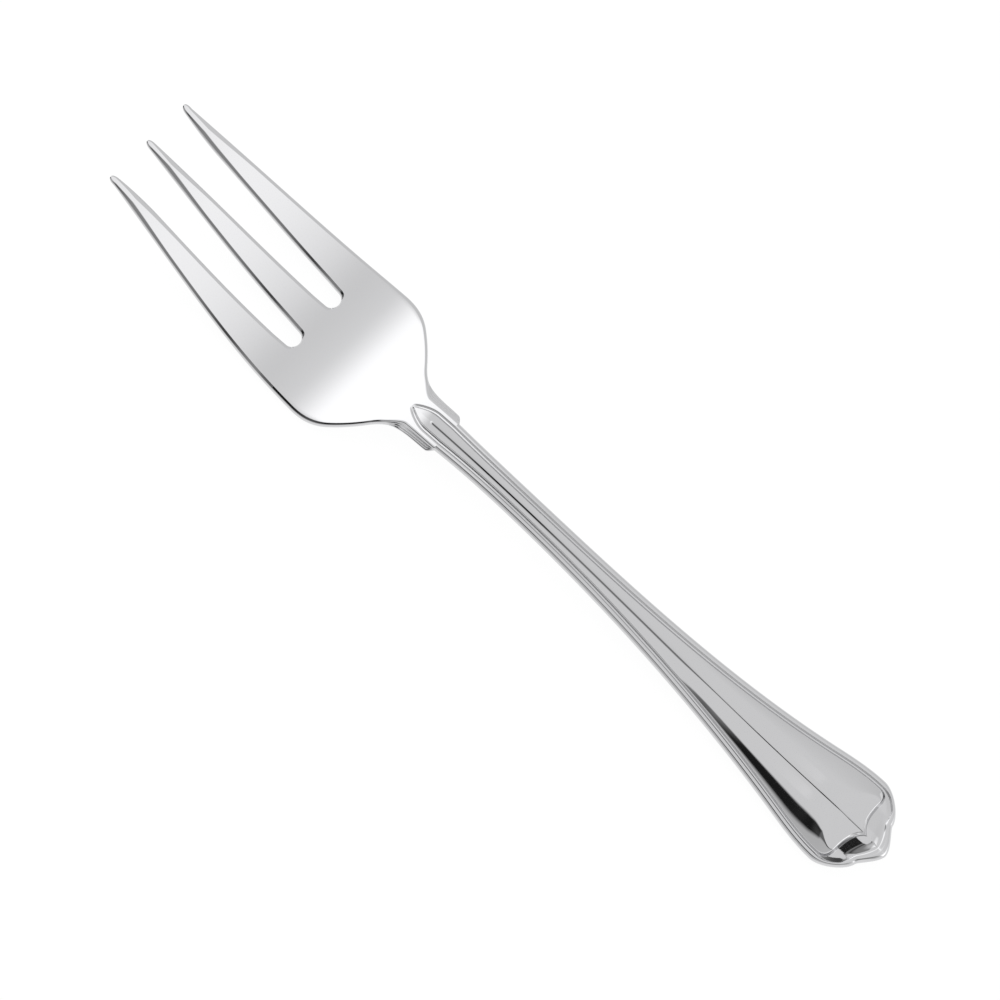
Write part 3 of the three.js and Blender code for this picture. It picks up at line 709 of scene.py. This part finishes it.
def tine_edge():
    """The edge along the tines, from one side of the palm to the other, with its normals."""
    path = smooth_path(tine_path(), PATH_STEP)
    path[0] = (PALM_AT, head_side(PALM_AT))
    path[-1] = (PALM_AT, -head_side(PALM_AT))
    outward = path_normals(path)
    outward[0], outward[-1] = (0, 1), (0, -1)
    outward[0:3, 0] = outward[-3:, 0] = 0
    outward /= np.linalg.norm(outward, axis=1)[:, None]
    from_tip = np.clip(path[:, 0], 0, None)
    slot_end = ramp(*SLOT_END_TURN, -outward[:, 0]) * (path[:, 0] > SLOT_AT / 2)
    widest = mix(TIP_EDGE_WIDTH, EDGE_WIDTH, ramp(*TIP_EDGE_RUN, from_tip))
    radius = np.minimum(widest, TIP_EDGE_START + TIP_EDGE_GROWTH * from_tip)
    radius = radius * (1 - SLOT_EDGE_CUT * slot_end)

    def low_and_top(line, sign):
        return np.concatenate([sign * line[:0:-1], line])[None]

    inset = radius[:, None] * low_and_top(EDGE_IN, 1)
    plan = path[:, None] - outward[:, None] * inset[..., None]
    up = head_half(np.clip(plan[..., 0], 0, None)) * low_and_top(EDGE_UP, -1)
    climb = low_and_top(EDGE_CLIMB, 1) * head_half(from_tip)[:, None]
    step = low_and_top(EDGE_STEP, -1) * radius[:, None]
    tilt = np.concatenate([outward[:, None] * climb[..., None], step[..., None]], -1)
    return with_height(plan, up), bent_normal(plan[..., 0], tilt)


def tine_face(rim, row, hand):
    """The face inside the tines' edge and the palm's first row: upper for hand 1, lower for -1."""
    row = row[np.argsort(row[:, 1])][1:-1, :2]
    ring = np.concatenate([rim, row])
    grid_x, grid_y = np.meshgrid(
        np.arange(FILL_FROM, PALM_AT - FILL_END_GAP, FILL_STEP),
        np.arange(-FILL_SIDE, FILL_SIDE + 0.1, FILL_STEP),
    )
    grid = np.stack([grid_x.ravel(), grid_y.ravel()], -1)
    clear = np.array([np.min(np.sum((ring - g) ** 2, 1)) > FILL_GAP**2 for g in grid])
    given = np.concatenate([ring, grid[clear]])
    plan, tris = fill_outline(given, [], list(range(len(ring))))
    if not tris:
        raise RuntimeError("the tines' faces could not be filled")
    a, b, c = plan[list(tris[0])]
    turns_left = np.cross(b - a, c - a) > 0
    if turns_left != (hand > 0):
        tris = [t[::-1] for t in tris]
    height = hand * head_half(np.clip(plan[:, 0], 0, None))
    level = np.zeros((len(plan), 3))
    level[:, 2] = hand
    points = np.concatenate([plan, height[:, None]], 1)
    return to_metres(points), bent_normal(plan[:, 0], level), tris


def tang_loops():
    """Loops of eight points along the tang, with its taper, cut corners and notches."""
    places = np.linspace(JOINT_AT, JOINT_AT + TANG_LENGTH, 97)
    taper = mix(1, TANG_TAPER, (places - JOINT_AT) / TANG_LENGTH)
    side = TANG_WIDTH / 2 * taper
    for i in range(TANG_NOTCHES):
        middle = JOINT_AT + TANG_LENGTH * (i + 1) / (TANG_NOTCHES + 1)
        side = side - NOTCH_DEPTH * (np.abs(places - middle) < NOTCH_LENGTH / 2)
    half = TANG_THICK / 2 * taper
    cut = TANG_CUT * TANG_THICK / 2 * taper
    shape = [(1, -1, 0, 1), (1, 1, 0, -1), (1, 1, -1, 0), (-1, 1, 1, 0)]
    shape += [(-1, 1, 0, -1), (-1, -1, 0, 1), (-1, -1, 1, 0), (1, -1, -1, 0)]
    lines = [
        np.stack([places, y * side + dy * cut, z * half + dz * cut - TANG_DROP], -1)
        for y, z, dy, dz in shape
    ]
    return np.stack(lines, 1)


def root_face(root, hole):
    """The end face of the neck round the root of the tang."""
    given = np.concatenate([root[:, 1:], hole[:, 1:]])
    start, count = len(root), len(hole)
    edges = [(start + i, start + (i + 1) % count) for i in range(count)]
    cap, filled = fill_outline(given, edges, list(range(start)))
    tris = []
    for tri in filled:
        y, z = cap[list(tri)].mean(0)
        if abs(y) > TANG_WIDTH / 2 or abs(z + TANG_DROP) > TANG_THICK / 2:
            tris.append(tri)
    points = np.concatenate([np.full((len(cap), 1), JOINT_AT), cap], 1)
    return to_metres(points), np.tile((1.0, 0, 0), (len(cap), 1)), tris


def fork_head():
    """The head as one closed mesh: tines, palm, neck and tang."""
    points, normals, faces = [], [], []

    def add(new_points, new_normals, new_faces):
        start = sum(len(p) for p in points)
        points.append(new_points.reshape(-1, 3))
        normals.append(new_normals.reshape(-1, 3))
        faces.extend(tuple(start + i for i in f) for f in new_faces)

    # Palm and neck
    palm = np.linspace(PALM_AT, NECK_AT - 4, PALM_ROWS)
    places = np.concatenate([palm[:-1], np.linspace(NECK_AT - 4, JOINT_AT, NECK_ROWS)])
    loops = palm_sections(places)
    flat = to_metres(loops)
    add(flat, loop_normals(flat), strip_faces(*loops.shape[:2]))

    # Edge of the tines, then their upper and lower faces
    strip, strip_normals = tine_edge()
    quads = strip_faces(*strip.shape[:2], closed=False)
    add(to_metres(strip), strip_normals, [f[::-1] for f in quads])
    first = loops[0]
    full = 0.999 * head_half(PALM_AT)
    add(*tine_face(strip[:, -1, :2], first[first[:, 2] > full], 1))
    add(*tine_face(strip[:, 0, :2], first[first[:, 2] < -full], -1))

    # Tang with its end, then the face round its root
    tang = tang_loops()
    tang_flat = to_metres(tang)
    spine = tang[:, :1] * (1, 0, 0) - (0, 0, TANG_DROP)
    tang_out = tang_flat - to_metres(spine)
    tang_out /= np.linalg.norm(tang_out, axis=-1)[..., None]
    rows, count = tang.shape[:2]
    add(tang_flat, tang_out, strip_faces(rows, count))
    add(tang_flat[-1], np.tile((1.0, 0, 0), (count, 1)), [tuple(range(count))])
    add(*root_face(loops[-1], tang[0]))

    return mesh_object("head_smooth", np.concatenate(points), faces, np.concatenate(normals))


head = fork_head()
front = handle_shell("handle_face_smooth", 1)
back = handle_shell("handle_back_smooth", -1)
for made, node in (
    (head, "fork_head"),
    (front, "handle_front_shell"),
    (back, "handle_back_shell"),
):
    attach(made, "root")
    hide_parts(node)


# Materials


def new_material(name):
    """A material with its node tree and shader, ready for more nodes."""
    material = bpy.data.materials.new(name)
    material.use_nodes = True
    tree = material.node_tree
    shader = tree.nodes["Principled BSDF"]
    return material, tree, shader


def polished_steel():
    """Mirror-polished steel with fine wiping marks and a faint unevenness."""
    material, tree, shader = new_material("polished_steel")
    shader.inputs["Base Color"].default_value = (0.62, 0.62, 0.63, 1)
    shader.inputs["Metallic"].default_value = 1
    where = tree.nodes.new("ShaderNodeTexCoord")
    stretch = tree.nodes.new("ShaderNodeMapping")
    stretch.inputs["Scale"].default_value = (60, 900, 900)
    tree.links.new(where.outputs["Object"], stretch.inputs["Vector"])
    marks = tree.nodes.new("ShaderNodeTexNoise")
    marks.inputs["Scale"].default_value = 4
    marks.inputs["Detail"].default_value = 6
    tree.links.new(stretch.outputs["Vector"], marks.inputs["Vector"])
    rough = tree.nodes.new("ShaderNodeMapRange")
    rough.inputs["To Min"].default_value = 0.03
    rough.inputs["To Max"].default_value = 0.09
    tree.links.new(marks.outputs["Fac"], rough.inputs["Value"])
    tree.links.new(rough.outputs["Result"], shader.inputs["Roughness"])
    bump = tree.nodes.new("ShaderNodeBump")
    bump.inputs["Strength"].default_value = 0.02
    bump.inputs["Distance"].default_value = 0.00002
    tree.links.new(marks.outputs["Fac"], bump.inputs["Height"])
    tree.links.new(bump.outputs["Normal"], shader.inputs["Normal"])
    return material


def cement():
    """Grey-brown cast cement with a fine grain."""
    material, tree, shader = new_material("handle_cement")
    shader.inputs["Roughness"].default_value = 0.9
    grain = tree.nodes.new("ShaderNodeTexNoise")
    grain.inputs["Scale"].default_value = 900
    colour = tree.nodes.new("ShaderNodeValToRGB")
    colour.color_ramp.elements[0].color = (0.30, 0.27, 0.22, 1)
    colour.color_ramp.elements[1].color = (0.46, 0.42, 0.36, 1)
    tree.links.new(grain.outputs["Fac"], colour.inputs["Fac"])
    tree.links.new(colour.outputs["Color"], shader.inputs["Base Color"])
    return material


steel = polished_steel()
for made in (head, front, back):
    made.data.materials.append(steel)
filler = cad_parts["handle_filler"]
filler.data.materials.clear()
filler.data.materials.append(cement())


# Floor, light and camera

FLOOR_SIZE = 4.0
VIEW_AZIMUTH, VIEW_ELEVATION = 44.26, 74.4
VIEW_DISTANCE = 5.0
FRAME_WIDTH = 0.2333
AIM_RIGHT, AIM_UP = -0.00358, 0.0027

# Brightness of the studio by direction, from -1 to 1 along and across the fork: a narrow window
# with levels along it, the base outside the window, and levels across for both
PEAK_LIGHT = 2.0
ALONG_LIGHT = [
    (-1, 1.6),
    (-0.75, 1.68),
    (-0.6, 1.64),
    (-0.45, 1.4),
    (-0.29, 1.12),
    (-0.17, 0.9),
    (0, 0.91),
    (0.2, 1.04),
    (0.45, 1.26),
    (0.62, 1.4),
    (0.8, 1.6),
    (1, 2),
]
BASE_LIGHT = [(-1, 1.6), (-0.64, 1.5), (-0.56, 0.91), (0.66, 0.91), (0.8, 1.5), (1, 2)]
WINDOW_ACROSS = [(-1, 0), (0.11, 0), (0.165, 1), (0.22, 1), (0.27, 0), (1, 0)]
ACROSS_LIGHT = [
    (-1, 0.75),
    (-0.55, 0.7),
    (-0.2, 0.9),
    (-0.1, 1),
    (0.4, 1),
    (0.7, 0.93),
    (1, 0.85),
]

# Dark strip beside the table: how much of it is there, by direction across and along the fork
STRIP_ACROSS = [(-1, 0), (-0.55, 0), (-0.46, 1), (-0.2, 1), (-0.13, 0), (1, 0)]
STRIP_ALONG = [
    (-1, 0.78),
    (-0.4, 0.78),
    (-0.28, 1),
    (-0.12, 1),
    (-0.04, 0.7),
    (0.06, 0.7),
    (0.28, 0.92),
    (0.52, 0.6),
    (1, 0.45),
]
STRIP_DARKNESS = 0.98


def floor():
    """The evenly lit white top of a light table."""
    half = FLOOR_SIZE / 2
    corners = [(-half, -half, 0), (half, -half, 0), (half, half, 0), (-half, half, 0)]
    mesh = bpy.data.meshes.new("floor")
    mesh.from_pydata(corners, [], [(0, 1, 2, 3)])
    made = bpy.data.objects.new("floor", mesh)
    bpy.context.scene.collection.objects.link(made)
    material, _, shader = new_material("light_table")
    shader.inputs["Base Color"].default_value = (0.12, 0.12, 0.12, 1)
    shader.inputs["Roughness"].default_value = 0.8
    shader.inputs["Specular IOR Level"].default_value = 0
    shader.inputs["Emission Color"].default_value = (1, 1, 1, 1)
    shader.inputs["Emission Strength"].default_value = 0.92
    mesh.materials.append(material)


def camera():
    """A long lens at the photograph's viewing angle."""
    azimuth, elevation = math.radians(VIEW_AZIMUTH), math.radians(VIEW_ELEVATION)
    back_way = Vector(
        (
            math.sin(azimuth) * math.cos(elevation),
            -math.cos(azimuth) * math.cos(elevation),
            math.sin(elevation),
        )
    )
    turn = (-back_way).to_track_quat("-Z", "Y")
    right = turn @ Vector((1, 0, 0))
    up = turn @ Vector((0, 1, 0))
    data = bpy.data.cameras.new("camera")
    data.lens = data.sensor_width * VIEW_DISTANCE / FRAME_WIDTH
    made = bpy.data.objects.new("camera", data)
    made.rotation_mode = "QUATERNION"
    made.rotation_quaternion = turn
    made.location = back_way * VIEW_DISTANCE + right * AIM_RIGHT + up * AIM_UP
    bpy.context.scene.collection.objects.link(made)
    bpy.context.scene.camera = made


def surroundings():
    """A soft studio: a grey surround, a narrow window along the fork and a dark strip beside it."""
    world = bpy.data.worlds.new("studio")
    bpy.context.scene.world = world
    world.use_nodes = True
    tree = world.node_tree
    where = tree.nodes.new("ShaderNodeTexCoord")
    parts = tree.nodes.new("ShaderNodeSeparateXYZ")
    tree.links.new(where.outputs["Generated"], parts.inputs["Vector"])

    def bands(direction, stops, blend="LINEAR", peak=1):
        place = tree.nodes.new("ShaderNodeMapRange")
        place.inputs["From Min"].default_value = -1
        tree.links.new(direction, place.inputs["Value"])
        shade = tree.nodes.new("ShaderNodeValToRGB")
        shade.color_ramp.interpolation = blend
        elements = shade.color_ramp.elements
        while len(elements) < len(stops):
            elements.new(0.5)
        for element, (at, level) in zip(elements, stops):
            element.position = at / 2 + 0.5
            element.color = (level / peak, level / peak, level / peak, 1)
        tree.links.new(place.outputs["Result"], shade.inputs["Fac"])
        return shade.outputs["Color"]

    def product(one, other):
        node = tree.nodes.new("ShaderNodeMath")
        node.operation = "MULTIPLY"
        tree.links.new(one, node.inputs[0])
        tree.links.new(other, node.inputs[1])
        return node.outputs[0]

    along = bands(parts.outputs["X"], ALONG_LIGHT, "B_SPLINE", PEAK_LIGHT)
    window = tree.nodes.new("ShaderNodeMix")
    base = bands(parts.outputs["X"], BASE_LIGHT, "LINEAR", PEAK_LIGHT)
    tree.links.new(base, window.inputs["A"])
    tree.links.new(bands(parts.outputs["Y"], WINDOW_ACROSS), window.inputs["Factor"])
    tree.links.new(along, window.inputs["B"])
    across = bands(parts.outputs["Y"], ACROSS_LIGHT)
    strip = product(
        bands(parts.outputs["Y"], STRIP_ACROSS),
        bands(parts.outputs["X"], STRIP_ALONG, "EASE"),
    )
    shade = tree.nodes.new("ShaderNodeMath")
    shade.operation = "MULTIPLY_ADD"
    tree.links.new(strip, shade.inputs[0])
    shade.inputs[1].default_value = -STRIP_DARKNESS
    shade.inputs[2].default_value = 1
    light = product(product(window.outputs["Result"], across), shade.outputs[0])
    tree.links.new(light, tree.nodes["Background"].inputs["Color"])
    tree.nodes["Background"].inputs["Strength"].default_value = PEAK_LIGHT


floor()
surroundings()
camera()
bpy.context.scene.view_settings.view_transform = "Standard"
